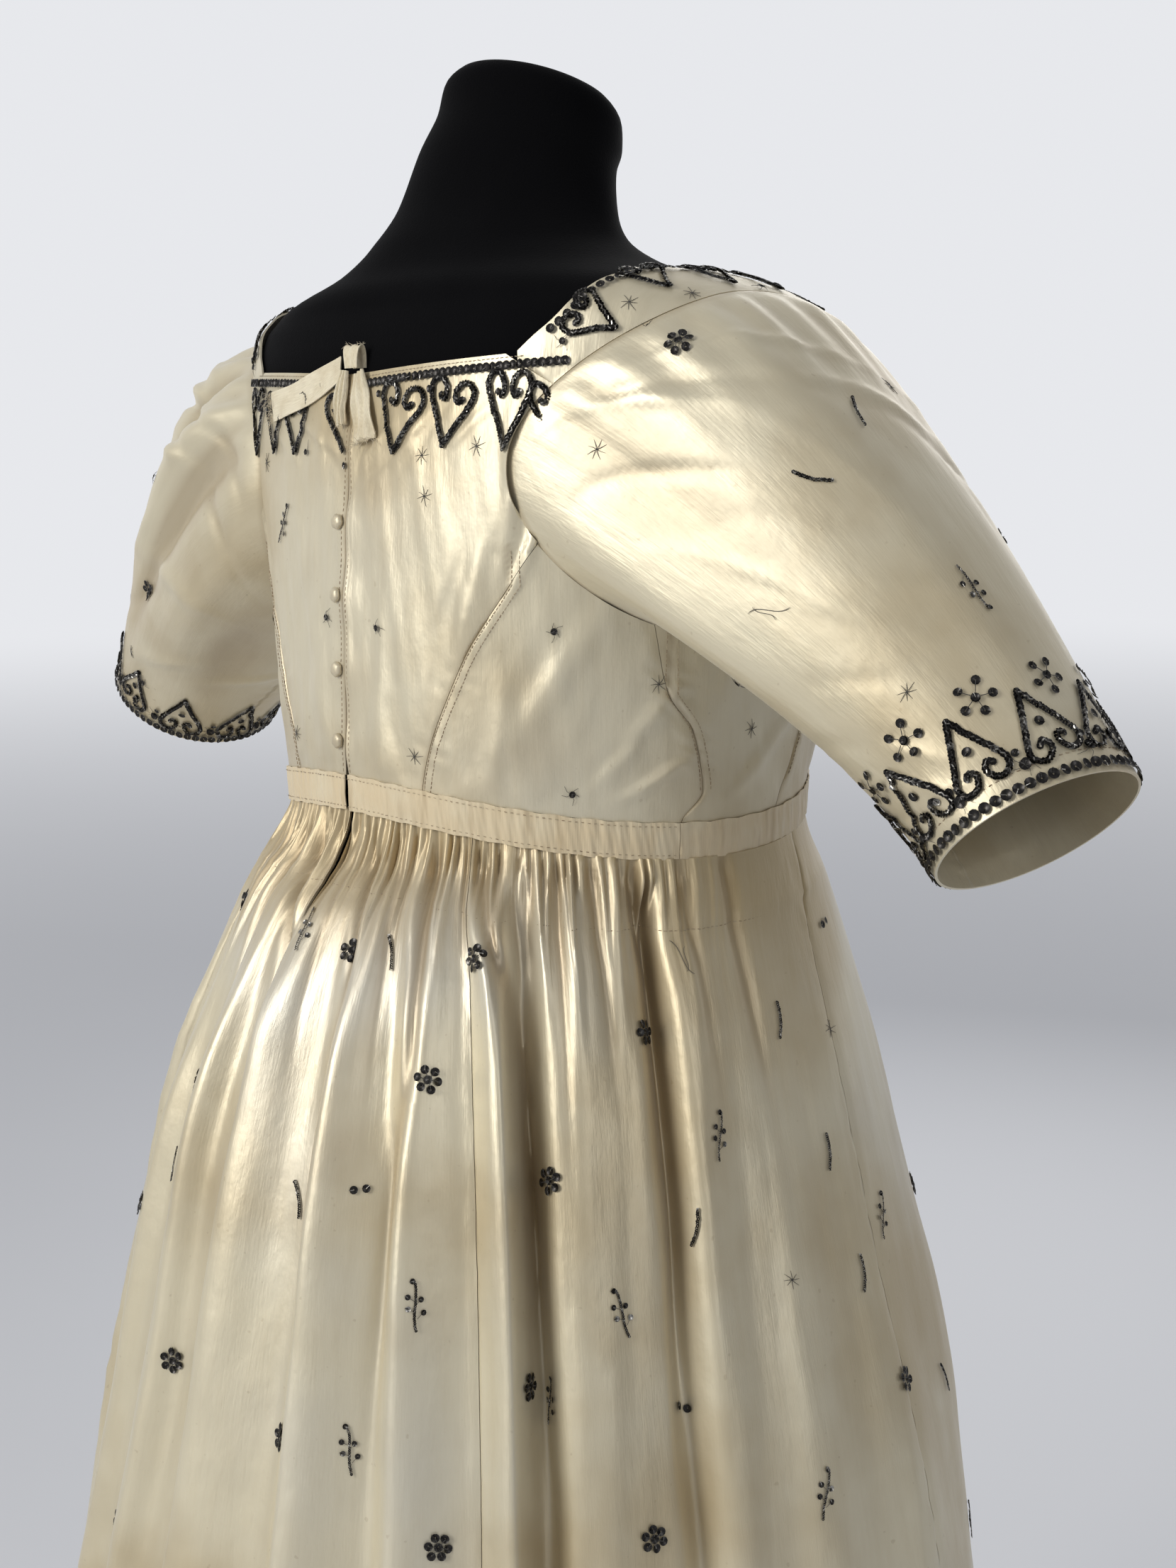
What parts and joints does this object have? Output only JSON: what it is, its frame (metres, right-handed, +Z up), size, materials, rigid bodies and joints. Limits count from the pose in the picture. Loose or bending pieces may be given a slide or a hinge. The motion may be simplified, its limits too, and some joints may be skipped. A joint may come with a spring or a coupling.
{
  "type": "regency gown on a limbless dress form and stand",
  "caption": "High-waisted satin gown with short sleeves, gathered full-length skirt and open hem, on a limbless dress form with pole and round base.",
  "frame": {"origin": "on the floor, at the centre of the underside of the round base of the stand", "axes": "+Z up along the pole; the gown's front faces -Y and its back +Y; the wearer's right is at -X"},
  "size_m": [0.6914, 0.5592, 1.477],
  "materials": {
    "satin": "ivory silk satin, soft sheen",
    "band": "beige ribbed silk ribbon",
    "tape": "matt cream tape",
    "velvet": "black velvet",
    "stand": "satin black paint"
  },
  "bodies": {
    "root": {"bodice_back_left": "satin", "bodice_back_right": "satin", "bodice_front": "satin", "bodice_side_back_left": "satin", "bodice_side_back_right": "satin", "bodice_side_front_left": "satin", "bodice_side_front_right": "satin", "button_1": "satin", "button_2": "satin", "button_3": "satin", "button_4": "satin", "form_base": "stand", "form_body": "velvet", "form_pole": "stand", "shoulder_strap_left": "satin", "shoulder_strap_right": "satin", "skirt_back": "satin", "skirt_front": "satin", "skirt_side_left": "satin", "skirt_side_right": "satin", "sleeve_left": "satin", "sleeve_right": "satin", "tie_end_left": "tape", "tie_end_right": "tape", "tie_knot": "tape", "tie_tape": "tape", "waistband_back_left": "band", "waistband_back_right": "band", "waistband_front": "band"}
  },
  "joints": []
}
